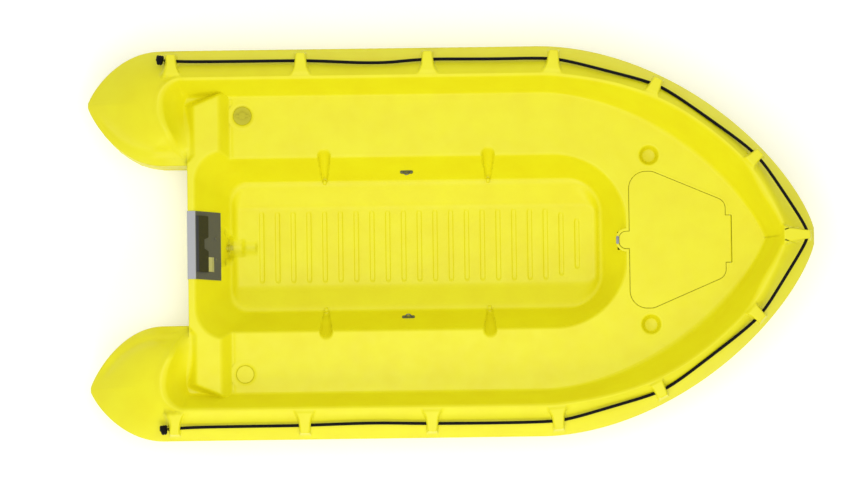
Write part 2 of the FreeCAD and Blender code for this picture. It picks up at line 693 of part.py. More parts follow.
def export(name, pieces):
    pieces = pieces if isinstance(pieces, list) else [pieces]
    shape = pieces[0] if len(pieces) == 1 else Part.makeCompound(pieces)
    shape.exportStep("parts/%s.step" % name)
    valid = all(piece.isValid() for piece in pieces)
    print("%-22s solids %2d  volume %9.1f cm3  valid %s"
          % (name, len(shape.Solids), shape.Volume / 1000, valid))


outer = envelope(0)
inner = envelope(WALL)
cuts = openings(0)
blocks = [side_block(side, 0) for side in (1, -1)]
body = outer.cut(cuts + [transom_notch()])
cavity = inner.cut(openings(WALL) + [transom_notch().translated(Vector(0, 0, -WALL))])
skin = outer.cut(gap_between_tails(0)).cut(inner.cut(gap_between_tails(-WALL)))
below = below_rim()

hull_shell = clean_solid(body.cut(cavity).common(skin.common(below)))
rope, bends = cord_wire([Vector(*p) for p in ROPE_POINTS])
channel = cord_tube(rope, ROPE_D + ROPE_CLEARANCE)
deck = body.cut(cavity).cut(hull_shell)
raised = [piece.cut(inner) for piece in lugs()]
deck = deck.fuse(raised + blocks + lashing_bosses()).cut([channel] + rib_grooves())
deck = deck.cut([side_block(side, WALL) for side in (1, -1)])

core = Part.makeBox(CORE_THICK, 2 * CORE_HALF, 330, Vector(TRANSOM_X + WALL + 1, -CORE_HALF, 75))
core = clean_solid(core.common(cavity))
tube, plug, pin = drain_tube(), drain_plug(), hinge_pin()
tube_hole = Part.makeCylinder(DRAIN_R, 200, Vector(TRANSOM_X - 10, 0, DRAIN_Z), Vector(1, 0, 0))
bung_hole = Part.makeCylinder(BUNG_BODY_R + RUNNING, 30, Vector(BUNG_X, BUNG_Y, BENCH_Z - 28))
cap, button, button_screw = flush_cap(), latch_button(), latch_screw()
screws = plate_screws()
eyes = [on_well_side(pad_eye(), PAD_EYE_X, side) for side in (1, -1)]
eye_screws = [on_well_side(piece, PAD_EYE_X, side) for side in (1, -1) for piece in pad_eye_screws()]
plate = transom_plate().cut(screws)
deck = clean_solid(deck.cut([tube_hole, bung_hole, cap, pin, button_screw] + screws + eye_screws))
hull_shell = clean_solid(hull_shell.cut([tube_hole] + screws))
core = clean_solid(core.cut([tube_hole] + screws))
side_foam = foam_block(SIDE_FOAM, cavity)

export("hull_shell", hull_shell)
export("deck_shell", deck)
export("port_foam", side_foam)
export("starboard_foam", side_foam.mirror(Vector(0, 0, 0), Vector(0, 1, 0)))
export("floor_foam", foam_block(FLOOR_FOAM, cavity))
export("bow_foam", foam_block(BOW_FOAM, cavity))
export("transom_core", core)
export("transom_plate", clean_solid(plate))
export("clamp_pad", clamp_pad())
export("data_plate", data_plate())
export("plate_screws", screws)
export("hatch_lid", hatch_lid())
export("hatch_hinge_pin", pin)
export("hatch_seal", hatch_seal())
export("hatch_latch", button)
export("latch_screw", button_screw)
export("drain_tube", tube)
export("drain_plug", plug)
export("screw_bung", screw_bung())
export("flush_cap", cap)
export("pad_eye_port", eyes[0])
export("pad_eye_starboard", eyes[1])
export("pad_eye_screws", eye_screws)
line = cord_tube(rope, ROPE_D)
export("grab_line", line)
ends = [Vector(*p) for p in (ROPE_POINTS[0], ROPE_POINTS[1], ROPE_POINTS[-1], ROPE_POINTS[-2])]
export("knot_port", knot(ends[0], ends[1]))
export("knot_starboard", knot(ends[2], ends[3]))
print("rope length %.0f mm, tube volume over section times length %.4f"
      % (rope.Length, line.Volume / (math.pi * ROPE_D ** 2 / 4 * rope.Length)))
print("bend radii", [round(r) for r in bends])
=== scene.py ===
# %% [markdown]
# # A yellow plastic dinghy, seen from above
# The boat is a hollow polyethylene moulding. The engineering model gives the hull's outer skin, the
# lid and the metal fittings, and this script adds the soft moulded deck, the back wall, the rope
# and the finishes.

import math

import bmesh
import bpy
import numpy as np
from mathutils import Euler, Matrix, Vector


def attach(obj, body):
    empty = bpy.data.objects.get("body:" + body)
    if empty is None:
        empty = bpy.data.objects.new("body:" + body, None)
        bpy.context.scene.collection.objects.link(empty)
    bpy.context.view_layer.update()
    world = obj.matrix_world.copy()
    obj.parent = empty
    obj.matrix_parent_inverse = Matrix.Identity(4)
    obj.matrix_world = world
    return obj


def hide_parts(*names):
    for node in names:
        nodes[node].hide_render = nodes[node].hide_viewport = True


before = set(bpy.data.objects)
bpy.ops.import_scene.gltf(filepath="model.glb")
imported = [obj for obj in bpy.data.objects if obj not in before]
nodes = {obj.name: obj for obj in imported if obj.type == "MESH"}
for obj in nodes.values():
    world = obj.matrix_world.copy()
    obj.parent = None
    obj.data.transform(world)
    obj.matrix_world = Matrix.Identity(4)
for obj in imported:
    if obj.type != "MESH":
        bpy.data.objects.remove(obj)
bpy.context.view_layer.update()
print("nodes", len(nodes))

# %% [markdown]
# ## Camera, light and floor
# The boat is seen from above, from a few degrees to starboard. A long lens far away keeps the
# benches and the gunwale at nearly the same scale. One lamp stands to starboard, so the walls that
# face it are bright, and a wider one hangs overhead.

# %% Camera
SEEN_WIDTH, DISTANCE = 3.7718, 25.0
VIEW_LEAN, VIEW_TURN = 3.5, 0.78
VIEW_AIM = (-0.095, -0.0207, 0.45)
camera_data = bpy.data.cameras.new("camera")
camera_data.lens = camera_data.sensor_width * DISTANCE / SEEN_WIDTH
camera_data.clip_end = 100.0
camera = bpy.data.objects.new("camera", camera_data)
camera_turn = Euler((math.radians(VIEW_LEAN), 0.0, -math.radians(VIEW_TURN)))
look = camera_turn.to_matrix() @ Vector((0, 0, -1))
camera.location = Vector(VIEW_AIM) - look * DISTANCE
camera.rotation_euler = camera_turn
bpy.context.collection.objects.link(camera)
bpy.context.scene.camera = camera
bpy.context.scene.view_settings.view_transform = "Standard"
print("lens", round(camera_data.lens, 1), "mm")


# %% Lights and floor
def soft_light(name, place, size, power):
    """A large square lamp aimed at the middle of the boat."""
    data = bpy.data.lights.new(name, "AREA")
    data.size = size
    data.energy = power
    lamp = bpy.data.objects.new(name, data)
    lamp.location = place
    lamp.rotation_euler = (Vector((0, 0, 0.3)) - Vector(place)).to_track_quat("-Z", "Y").to_euler()
    bpy.context.collection.objects.link(lamp)


soft_light("starboard_light", (-0.6, -5.2, 3.6), 2.4, 75)
soft_light("top_light", (-0.2, -0.6, 6.5), 3.0, 120)
world = bpy.data.worlds.new("studio")
world.use_nodes = True
world.node_tree.nodes["Background"].inputs["Color"].default_value = (1, 1, 1, 1)
world.node_tree.nodes["Background"].inputs["Strength"].default_value = 0.72
bpy.context.scene.world = world

floor_mesh = bpy.data.meshes.new("floor")
bm = bmesh.new()
bmesh.ops.create_grid(bm, x_segments=1, y_segments=1, size=12)
bmesh.ops.translate(bm, verts=bm.verts, vec=(0, 0, -0.002))
bm.to_mesh(floor_mesh)
bm.free()
floor = bpy.data.objects.new("floor", floor_mesh)
bpy.context.collection.objects.link(floor)


# %% [markdown]
# ## Finishes
# Each finish is a small node material. Colours are written as sRGB hex values, the way a paint or
# plastic chart gives them, and turned to linear light once, in one function.

# %% Colour and node helpers
def colour(hex_value):
    """An sRGB hex colour as linear RGBA."""
    parts = [int(hex_value[i:i + 2], 16) / 255 for i in (1, 3, 5)]
    linear = [c / 12.92 if c <= 0.04045 else ((c + 0.055) / 1.055) ** 2.4 for c in parts]
    return (*linear, 1.0)


def add(material, kind, settings=None, **links):
    """Adds a shader node. Inputs take values or another node's output."""
    tree = material.node_tree
    node = tree.nodes.new(kind)
    for name, value in (settings or {}).items():
        if name in node.inputs:
            node.inputs[name].default_value = value
        else:
            setattr(node, name, value)
    for name, source in links.items():
        tree.links.new(source, node.inputs[name.replace("_", " ")])
    return node


def new_finish(name, base, roughness, metallic=0.0):
    material = bpy.data.materials.new(name)
    material.use_nodes = True
    shader = material.node_tree.nodes["Principled BSDF"]
    shader.inputs["Base Color"].default_value = colour(base)
    shader.inputs["Roughness"].default_value = roughness
    shader.inputs["Metallic"].default_value = metallic
    return material, shader


def place_of(material, stretch=(1, 1, 1)):
    """Object coordinates in metres, stretched along an axis where a pattern runs that way."""
    texture = add(material, "ShaderNodeTexCoord")
    mapping = add(material, "ShaderNodeMapping", {"Scale": stretch}, Vector=texture.outputs["Object"])
    return mapping.outputs["Vector"]


def link(material, source, target):
    material.node_tree.links.new(source, target)


# %% [markdown]
# ### Rotomoulded polyethylene
# Polyethylene powder melts against a hot mould and takes its texture. The eye sees an even yellow
# with a satin sheen, a faint mottle where the wall's thickness varies, and a fine orange peel. The
# peel is really about 1 mm across. Here it is 5 mm, so that it shows.

# %% Polyethylene
def moulded_polyethylene(name, light, deep, roughness):
    material, shader = new_finish(name, light, roughness)
    shader.inputs["IOR"].default_value = 1.51
    shader.inputs["Specular IOR Level"].default_value = 0.38
    place = place_of(material)
    mottle = add(material, "ShaderNodeTexNoise", {"Scale": 1 / 0.12, "Detail": 5.0}, Vector=place)
    tint = add(material, "ShaderNodeValToRGB", None, Fac=mottle.outputs["Fac"])
    tint.color_ramp.elements[0].position = 0.3
    tint.color_ramp.elements[0].color = colour(deep)
    tint.color_ramp.elements[1].position = 0.65
    tint.color_ramp.elements[1].color = colour(light)
    link(material, tint.outputs["Color"], shader.inputs["Base Color"])
    rub = add(material, "ShaderNodeTexNoise", {"Scale": 1 / 0.05, "Detail": 6.0}, Vector=place)
    sheen = add(material, "ShaderNodeMapRange", {"To Min": roughness - 0.07, "To Max": roughness + 0.09},
                Value=rub.outputs["Fac"])
    link(material, sheen.outputs["Result"], shader.inputs["Roughness"])
    peel = add(material, "ShaderNodeTexNoise", {"Scale": 1 / 0.005, "Detail": 2.0}, Vector=place)
    bump = add(material, "ShaderNodeBump", {"Strength": 0.10, "Distance": 0.0006},
               Height=peel.outputs["Fac"])
    link(material, bump.outputs["Normal"], shader.inputs["Normal"])
    return material


deck_plastic = moulded_polyethylene("satin_polyethylene", "#e9e310", "#e6dd0c", 0.44)
fitting_plastic = moulded_polyethylene("moulded_fitting_polyethylene", "#c4bd0e", "#b9b20b", 0.5)
print("polyethylene finishes ready")


# %% [markdown]
# ### Metals, board, rubber and foam
# The transom plate is anodised aluminium, with fine brushing across the boat. Its folded top is
# painted brighter, a painted highlight where the light falls on it. The deck fittings are
# stainless steel.

# %% Metals
def brushed_metal(name, base, painted_highlight, roughness, highlight_above, metallic=1.0):
    material, shader = new_finish(name, base, roughness, metallic)
    place = place_of(material, (1.0, 0.04, 1.0))
    grain = add(material, "ShaderNodeTexNoise", {"Scale": 1 / 0.0015, "Detail": 3.0}, Vector=place)
    sheen = add(material, "ShaderNodeMapRange", {"To Min": roughness - 0.1, "To Max": roughness + 0.12},
                Value=grain.outputs["Fac"])
    link(material, sheen.outputs["Result"], shader.inputs["Roughness"])
    bump = add(material, "ShaderNodeBump", {"Strength": 0.15, "Distance": 0.0002},
               Height=grain.outputs["Fac"])
    link(material, bump.outputs["Normal"], shader.inputs["Normal"])
    # Above the given height the base colour steps to a lighter one: a painted highlight on the upper
    # faces.
    split = add(material, "ShaderNodeSeparateXYZ", None, Vector=place)
    height = add(material, "ShaderNodeMapRange", {"From Min": highlight_above - 0.001, "From Max": highlight_above},
                 Value=split.outputs["Z"])
    shade = add(material, "ShaderNodeValToRGB", None, Fac=height.outputs["Result"])
    shade.color_ramp.elements[0].color = colour(base)
    shade.color_ramp.elements[1].color = colour(painted_highlight)
    link(material, shade.outputs["Color"], shader.inputs["Base Color"])
    return material


# The lighter colour above each height is a painted highlight on the tops of the plate, the fittings and
# the label.
anodised_aluminium = brushed_metal("anodised_aluminium", "#58595b", "#a6a7a9", 0.55, 0.4205, 0.3)
stainless_steel = brushed_metal("stainless_steel", "#7c7e81", "#85878a", 0.5, 0.3)
label_foil = brushed_metal("blank_label_foil", "#c2c2c0", "#d0d0ce", 0.5, 0.32)


# %% Board, rubber, foam and plywood
def grained(name, base, other, roughness, grain_size, stretch, depth):
    """A dull material whose two close colours follow a grain of a real size in metres."""
    material, shader = new_finish(name, base, roughness)
    grain = add(material, "ShaderNodeTexNoise", {"Scale": 1 / grain_size, "Detail": 6.0},
                Vector=place_of(material, stretch))
    tint = add(material, "ShaderNodeValToRGB", None, Fac=grain.outputs["Fac"])
    tint.color_ramp.elements[0].color = colour(base)
    tint.color_ramp.elements[1].color = colour(other)
    link(material, tint.outputs["Color"], shader.inputs["Base Color"])
    bump = add(material, "ShaderNodeBump", {"Strength": 0.3, "Distance": depth},
               Height=grain.outputs["Fac"])
    link(material, bump.outputs["Normal"], shader.inputs["Normal"])
    return material


even = (1, 1, 1)
black_board = grained("black_board", "#0d0d0e", "#1d1d1f", 0.55, 0.004, even, 0.0003)
seal_rubber = grained("seal_rubber", "#101010", "#1c1c1c", 0.75, 0.003, even, 0.0002)
closed_cell_foam = grained("closed_cell_foam", "#e8e8e2", "#f4f4f0", 0.9, 0.006, even, 0.001)
marine_plywood = grained("marine_plywood", "#7a5636", "#9a7148", 0.7, 0.01, (1, 0.1, 1), 0.0004)
floor_finish = grained("studio_floor", "#fcfcfc", "#fefefe", 0.9, 0.3, even, 0.0001)
floor_shader = floor_finish.node_tree.nodes["Principled BSDF"]
floor_shader.inputs["Emission Color"].default_value = colour("#ffffff")
floor_shader.inputs["Emission Strength"].default_value = 0.22
floor_mesh.materials.append(floor_finish)

# %% Give the carried-over nodes their finishes
finishes = {
    deck_plastic: ("hull_shell", "hatch_lid", "flush_cap"),
    fitting_plastic: ("drain_tube", "drain_plug", "screw_bung"),
    anodised_aluminium: ("transom_plate",),
    stainless_steel: ("plate_screws", "hatch_hinge_pin", "hatch_latch", "latch_screw",
                      "pad_eye_port", "pad_eye_starboard", "pad_eye_screws"),
    label_foil: ("data_plate",),
    black_board: ("clamp_pad",),
    seal_rubber: ("hatch_seal",),
    closed_cell_foam: ("port_foam", "starboard_foam", "floor_foam", "bow_foam"),
    marine_plywood: ("transom_core",)}
for material, names in finishes.items():
    for name in names:
        for slot in nodes[name].material_slots:
            slot.material = material
print("finished nodes", sum(len(names) for names in finishes.values()))


# %% [markdown]
# ## The deck's lines
# A moulding like this has no flat sheet anywhere: it is a surface with soft corners. So its shape
# is written as heights, and soft_low and soft_high join two heights with a rounded corner, as a
# mould maker's radius does.

# %% Height helpers, in metres
def ease(t):
    t = np.clip(t, 0, 1)
    return t * t * (3 - 2 * t)


def soft_low(a, b, radius):
    """The lower of two heights, with a round corner where they cross."""
    blend = np.maximum(radius - np.abs(a - b), 0) / radius
    return np.minimum(a, b) - blend ** 2 * radius / 4


def soft_high(a, b, radius):
    return -soft_low(-a, -b, radius)


# %% Outline, sheer and drop, as the hull has them
BOW_START, BOW_LENGTH, HALF_BEAM = 0.400, 1.204, 0.862
STERN, TAIL_LENGTH, TIP_X = -1.600, 0.330, 1.597
RIM_WIDTH, FOOT_INSET, RIM_DROP = 0.139, 0.204, 0.130
BENCH_Z, TRANSOM_X, TRANSOM_Z = 0.360, -1.156, 0.420
TAIL_START, INNER_SIDE_Y = -1.150, 0.354


def crest_z(x):
    bow = 0.500 + 0.100 * (np.maximum(x - 0.200, 0) / 1.400) ** 2
    return bow - 0.170 * (np.maximum(TAIL_START - x, 0) / 0.450) ** 2


def tail_line(reach):
    """Centre and half width of a tail, from its tip at 0 to its full width at 1."""
    centre = 0.608 + 0.021 * (1 - reach) ** 2
    return centre, 0.254 * (1 - (1 - reach) ** 2) ** 0.8


def rim_width(x):
    """Plan width of the rim, a little narrower where the bow curves in."""
    return RIM_WIDTH - 0.034 * ease((x - 0.50) / 0.60) * ease((1.50 - x) / 0.15)


def port_outline():
    """The port half's edge in plan: bow, side, round the tail and back to the transom."""
    t = np.linspace(0, 1, 30)[:-1]
    nose = np.stack([TIP_X - 0.007 * t ** 2, 0.0579 * t], 1)
    x = 1.590 - 1.190 * np.linspace(0, 1, 700) ** 1.6
    bow = np.stack([x, HALF_BEAM * (1 - ((x - BOW_START) / BOW_LENGTH) ** 1.85) ** 0.7], 1)
    side = np.stack([np.linspace(0.395, -1.268, 200), np.full(200, HALF_BEAM)], 1)
    reach = np.linspace(1, 0.0954, 260) ** 2
    centre, half = tail_line(reach)
    outer = np.stack([STERN + TAIL_LENGTH * reach, centre + half], 1)
    inner = np.stack([STERN + TAIL_LENGTH * reach, centre - half], 1)[::-1]
    last = np.stack([np.linspace(-1.268, TRANSOM_X, 20), np.full(20, INNER_SIDE_Y)], 1)
    return np.concatenate([nose, bow, side, outer, inner, last])


edge_line = port_outline()
edge_run = np.concatenate([[0], np.cumsum(np.linalg.norm(np.diff(edge_line, axis=0), axis=1))])
print("half outline", round(edge_run[-1], 3), "m")


# %% Stations along the outline, closer together at the rope lugs
LUG_STATIONS = (-1.222, -0.651, -0.092, 0.466, 0.936, 1.382)
OUTER_POINTS = 1190


def run_at(x):
    """Distance along the outline, from the bow, to a place on its outer side."""
    return np.interp(-x, -edge_line[:OUTER_POINTS, 0], edge_run[:OUTER_POINTS])


lug_runs = [float(run_at(x)) for x in LUG_STATIONS]
step_ends = sorted([(0.0, 0.13)] + [(run - 0.062, run + 0.062) for run in lug_runs])
stations = [0.0]
while stations[-1] < edge_run[-1] - 0.004:
    near = any(low <= stations[-1] < high for low, high in step_ends)
    stations.append(stations[-1] + (0.0028 if near else 0.0105))
stations = np.array(stations[:-1] + [edge_run[-1]])
edge = np.stack([np.interp(stations, edge_run, edge_line[:, i]) for i in (0, 1)], 1)
ahead = np.stack([np.interp(np.minimum(stations + 0.006, edge_run[-1]), edge_run, edge_line[:, i])
                  - np.interp(np.maximum(stations - 0.006, 0), edge_run, edge_line[:, i])
                  for i in (0, 1)], 1)
along = ahead / np.linalg.norm(ahead, axis=1, keepdims=True)
inward = np.stack([-along[:, 1], along[:, 0]], 1)
inward[0] = (-1, 0)
print("stations", len(stations))

# %% [markdown]
# ## Gunwale and tails
# The gunwale is one strip from the widest line up over the round rim to the crest, then down the
# inner wall to the bench. It could be swept along a curve, but its section changes at the tails,
# so a bmesh grid is laid down and each row of it is moved to its own distance inside the edge.


# %% The tray's crest and foot round the tails
def eased_curve(corners, turns=4):
    """Cuts a line's corners again and again until it is round."""
    line = np.array(corners)
    for _ in range(turns):
        near, far = line[:-1] * 0.75 + line[1:] * 0.25, line[:-1] * 0.25 + line[1:] * 0.75
        middle = np.stack([near, far], 1).reshape(-1, 2)
        line = np.concatenate([line[:1], middle, line[-1:]])
    return line


def spread(line, shares):
    run = np.concatenate([[0], np.cumsum(np.linalg.norm(np.diff(line, axis=0), axis=1))])
    return np.stack([np.interp(shares * run[-1], run, line[:, i]) for i in (0, 1)], 1)


crest_arc = eased_curve([(-1.150, 0.723), (-1.205, 0.722), (-1.262, 0.672), (-1.264, 0.582),
                         (-1.228, 0.492), (-1.198, 0.430), (-1.168, 0.384), (-1.150, 0.374)])
foot_arc = eased_curve([(-1.150, 0.658), (-1.164, 0.652), (-1.176, 0.610), (-1.174, 0.545),
                        (-1.164, 0.480), (-1.150, 0.430), (-1.136, 0.400), (-1.130, 0.385)])
side_end = float(run_at(TAIL_START))
in_tail = stations > side_end
tail_share = (stations[in_tail] - side_end) / (edge_run[-1] - side_end)
widths = rim_width(edge[:, 0])
crest = edge + inward * widths[:, None]
foot = edge + inward * FOOT_INSET
crest[in_tail] = spread(crest_arc, tail_share)
foot[in_tail] = spread(foot_arc, tail_share)


# %% Heights of the rim and the tails
def edge_distance(points):
    """Plan distance of each point from the port outline."""
    found = np.full(len(points), 9.0)
    for start in range(0, len(edge_line), 200):
        part = edge_line[start:start + 200]
        gap = np.linalg.norm(points[:, None] - part[None], axis=2).min(axis=1)
        found = np.minimum(found, gap)
    return found


def rim_z(points, distance):
    """Height over the rim and over the domed tail tops."""
    x, y = points[:, 0], points[:, 1]
    reach = np.clip((x - STERN) / TAIL_LENGTH, 0, 1)
    drop = RIM_DROP * np.minimum(1, 0.25 + 0.75 * reach)
    low = crest_z(x) - drop
    tail = ease((TAIL_START - x) / 0.15)
    corner = np.hypot(x - TRANSOM_X, y - INNER_SIDE_Y)
    top = crest_z(x) + (TRANSOM_Z - crest_z(x)) * (1 - ease((corner - 0.02) / 0.15))
    width = rim_width(x) + 0.075 * tail
    power = 1.5 + 0.7 * tail
    z = low + (top - low) * (1 - np.maximum(1 - distance / width, 0) ** power)
    inner_side = ease((0.600 - y) / 0.08) * ease((-1.200 - x) / 0.08) * ease((x + 1.580) / 0.06)
    groove = 0.030 + 0.030 * ease((x + 1.550) / 0.300)
    return z - 0.011 * inner_side * np.exp(-((distance - groove) / 0.017) ** 2)


def tray_floor(x, y):
    """The bench level, rising behind the blocks towards the transom's corners."""
    rise = 0.046 * ease((0.650 - np.abs(y)) / 0.180) * ease((-1.105 - x) / 0.030)
    return BENCH_Z + rise


# %% Rows across the gunwale
rim_rows = np.concatenate([np.linspace(0, 0.018, 4)[:-1], np.arange(0.018, 0.042, 0.003),
                           np.linspace(0.042, 0.122, 12)])
turn = np.linspace(0, 1, 7)[1:]
wall_rows = np.linspace(0.10, 0.88, 10)


def corner_rows(first, corner, last):
    return (1 - turn) ** 2 * first + 2 * turn * (1 - turn) * corner + turn ** 2 * last


crest_top = crest_z(crest[:, 0])
crest_top[in_tail] = rim_z(crest[in_tail], edge_distance(crest[in_tail]))
wall_foot = np.full(len(stations), BENCH_Z)
wall_foot[in_tail] = tray_floor(foot[in_tail, 0], foot[in_tail, 1])


def gunwale_section(i):
    """Points of one station: distance in, share of the wall passed, and height."""
    fall = crest_top[i] - wall_foot[i]
    share = np.concatenate([np.zeros(len(rim_rows)), corner_rows(0, 0, 0.10), wall_rows[1:],
                            corner_rows(0.88, 1, 1.16)])
    width = widths[i]
    inset = np.concatenate([rim_rows * width / RIM_WIDTH, corner_rows(width * 0.88, width, width),
                            np.full(len(share) - len(rim_rows) - len(turn), width)])
    z_crest = corner_rows(0, 0, -0.10 * fall)
    z_wall = -wall_rows[1:] * fall
    z_foot = corner_rows(-0.88 * fall, -fall, -fall - 0.0008)
    below = np.concatenate([z_crest, z_wall, z_foot])
    if in_tail[i]:
        passed = np.clip(share[len(rim_rows):] / 1.16, 0, 1)
        hollow = -fall * (1 - (1 - passed) ** 1.8) - 0.0008 * passed
        soft = ease(np.array((stations[i] - side_end) / 0.12))
        below = below * (1 - soft) + hollow * soft
    return share, inset, crest_top[i], below


sections = []
for i in range(len(stations)):
    share, inset, top, below = gunwale_section(i)
    straight = edge[i] + inward[i] * inset[:, None]
    bent = edge[i] + (crest[i] - edge[i]) * (inset / widths[i])[:, None]
    weight = ease((inset - 0.02) / 0.06)[:, None]
    plan = straight * (1 - weight) + bent * weight + (foot[i] - crest[i]) * share[:, None]
    z = np.zeros(len(inset))
    z[len(rim_rows):] = top + below
    if edge[i, 0] > 0.9 and (plan[:, 1] < 0).any():
        over = plan[:, 1] < 0
        reach = np.linalg.norm(plan - edge[i], axis=1)
        limit = edge[i, 1] / max(-inward[i, 1], 1e-6)
        z[over] = 0 if limit < inset[len(rim_rows) - 1] else np.interp(limit, reach, z)
        plan[over] = (edge[i, 0] + inward[i, 0] * limit, 0)
    sections.append(np.column_stack([plan, z]))
gunwale = np.array(sections)
rim_part = gunwale[:, :, 2] == 0
flat_points = gunwale[rim_part][:, :2]
gunwale[rim_part, 2] = rim_z(flat_points, edge_distance(flat_points))
print("gunwale grid", gunwale.shape[:2])

# %% [markdown]
# ### Rope lugs
# Thirteen lugs stand out of the rim and carry the rope. They are part of the same moulding, so
# they are raised out of the gunwale's own grid, which leaves a soft join all round.


# %% Raise the lugs
def raise_lug(points, inside, top, softness=0.005):
    """Lifts points to a flat top where inside is positive, fading over the softness."""
    lift = ease(inside / softness * 0.5 + 0.5)
    points[..., 2] += np.maximum(top - points[..., 2], 0) * lift


for run, x in zip(lug_runs, LUG_STATIONS):
    i = int(np.argmin(np.abs(stations - run)))
    offset = gunwale[..., :2] - edge[i]
    across, depth = np.abs(offset @ along[i]), offset @ inward[i]
    half = np.interp(depth, [0.024, 0.084, 0.104, 0.122], [0.022, 0.028, 0.036, 0.046])
    inside = np.minimum.reduce([half - across, depth - 0.022, 0.122 * widths[i] / RIM_WIDTH - depth])
    raise_lug(gunwale, inside, float(crest_z(x)) + 0.002)
gx, gy = gunwale[..., 0], gunwale[..., 1]
half = np.interp(gx, [1.455, 1.490, 1.578], [0.046, 0.030, 0.021])
inside = np.minimum.reduce([half - np.abs(gy), 1.578 - gx, gx - 1.455])
raise_lug(gunwale, inside, float(crest_z(np.float64(1.560))))
lip = gunwale[:, :1] - np.array([0, 0, 0.006])
gunwale = np.concatenate([lip, gunwale], axis=1)
print("lugs", 2 * len(LUG_STATIONS) + 1)


# %% Grids to pieces
def laid_grid(name, points, material, keep=None):
    """A bmesh grid whose vertices are moved to an array of points, mirrored to starboard."""
    rows, columns = points.shape[:2]
    grid = bmesh.new()
    bmesh.ops.create_grid(grid, x_segments=columns - 1, y_segments=rows - 1, size=1)
    grid.verts.ensure_lookup_table()
    for vert, point in zip(grid.verts, points.reshape(-1, 3)):
        vert.co = point
    if keep is not None:
        gone = [vert for vert, kept in zip(grid.verts, keep.ravel()) if not kept]
        bmesh.ops.delete(grid, geom=gone, context="VERTS")
    bmesh.ops.remove_doubles(grid, verts=grid.verts, dist=0.0001)
    bmesh.ops.recalc_face_normals(grid, faces=grid.faces)
    if sum(face.normal.z * face.calc_area() for face in grid.faces) < 0:
        bmesh.ops.reverse_faces(grid, faces=grid.faces)
    return finished(name, grid, material, mirrored=True)


def finished(name, shape, material, body="boat", mirrored=False):
    mesh = bpy.data.meshes.new(name)
    shape.to_mesh(mesh)
    shape.free()
    mesh.materials.append(material)
    for polygon in mesh.polygons:
        polygon.use_smooth = True
    piece = bpy.data.objects.new(name, mesh)
    bpy.context.collection.objects.link(piece)
    if mirrored:
        mirror = piece.modifiers.new("mirror", "MIRROR")
        mirror.use_axis = (False, True, False)
        mirror.merge_threshold = 0.0002
    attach(piece, body)
    print(name, "faces", len(mesh.polygons))
    return piece


gunwale_piece = laid_grid("gunwale_and_tails", gunwale, deck_plastic)

# %% [markdown]
# ## Benches, well and floor
# Most edges in here run along or across the boat, so a grid whose lines crowd together at those
# edges holds them crisply with few faces. The well's walls are found by asking, at each point,
# how high the well's rounded outline has to rise before the point falls inside it.


# %% The well as levels
def outside(x, y, z, box):
    """Distance outside a rounded rectangle that changes with height."""
    aft, front, half, aft_r, front_r = box(z)
    centre, reach = (aft + front) / 2, (front - aft) / 2
    radius = np.where(x < centre, aft_r, front_r)
    qx, qy = np.abs(x - centre) - reach + radius, np.abs(y) - half + radius
    return np.hypot(np.maximum(qx, 0), np.maximum(qy, 0)) + np.minimum(np.maximum(qx, qy), 0) - radius


def well_box(z):
    rise = z - 0.190
    return (-0.975 - 0.652 * rise, 0.672 + 0.6235 * rise, 0.289 + 0.553 * rise,
            np.maximum(0.08 + 0.25 * rise, 0.02), np.maximum(0.15 + rise, 0.02))


def band_box(z):
    rise = z - 0.150
    return (-0.960 - 0.12 * rise, 0.655 + 0.12 * rise, 0.178 + 2.25 * rise,
            np.maximum(0.03 + rise, 0.01), np.maximum(0.06 + 1.75 * rise, 0.01))


def scoop_distance(x, y, z):
    """The half-round hollows in the well's sides, above their lashing eyes."""
    y_axis = 0.295 + 0.553 * (z - 0.190)
    radius = 0.012 + 0.016 * np.clip((z - 0.190) / 0.170, 0, 1.2)
    gaps = [np.hypot(x - centre, np.abs(y) - y_axis) - radius for centre in (-0.554, 0.171)]
    return np.minimum(*gaps)


def wall_height(x, y, box, low, high, hollows=None):
    """The height at which each point meets the wall, by halving."""
    low, high = np.full(x.shape, low), np.full(x.shape, high)
    for _ in range(16):
        z = (low + high) / 2
        gap = outside(x, y, z, box)
        if hollows is not None:
            gap = np.minimum(gap, hollows(x, y, z))
        low, high = np.where(gap > 0, z, low), np.where(gap > 0, high, z)
    return (low + high) / 2


# %% Blocks, transom, ribs and sump
RIB_HALVES = [0.156] * 19 + [0.138, 0.109]
RIB_PLACES = [-0.838 + 0.0701 * i for i in range(21)]


def raised_top(x, y):
    """The transom's top and the block that crosses each bench beside it."""
    side = np.abs(y)
    front = TRANSOM_Z - (x + 1.015) * (0.060 / 0.043)
    aft_x = -1.160 + 0.038 * ease((side - 0.350) / 0.050)
    aft = TRANSOM_Z + 0.010 - (aft_x - x) * np.where(side > 0.380, 1.6, 4.0)
    chamfer = TRANSOM_Z + (0.618 - side + (x + 1.123) * 0.42) * 3.0
    top = soft_low(soft_low(np.full(x.shape, TRANSOM_Z), front, 0.014), aft, 0.016)
    top = soft_low(top, np.where(side > 0.5, chamfer, 9.0), 0.014)
    groove = 0.004 * np.exp(-((x + 0.968) / 0.008) ** 2) * (side > 0.37)
    return soft_high(top, tray_floor(x, y), 0.014) - groove


def rib_depth(x, y):
    depth = np.zeros(x.shape)
    for place, half in zip(RIB_PLACES, RIB_HALVES):
        gap = np.hypot(x - place, np.maximum(np.abs(y) - half + 0.009, 0)) - 0.0095
        depth = np.maximum(depth, ease(0.5 - gap / 0.004))
    return 0.0042 * depth


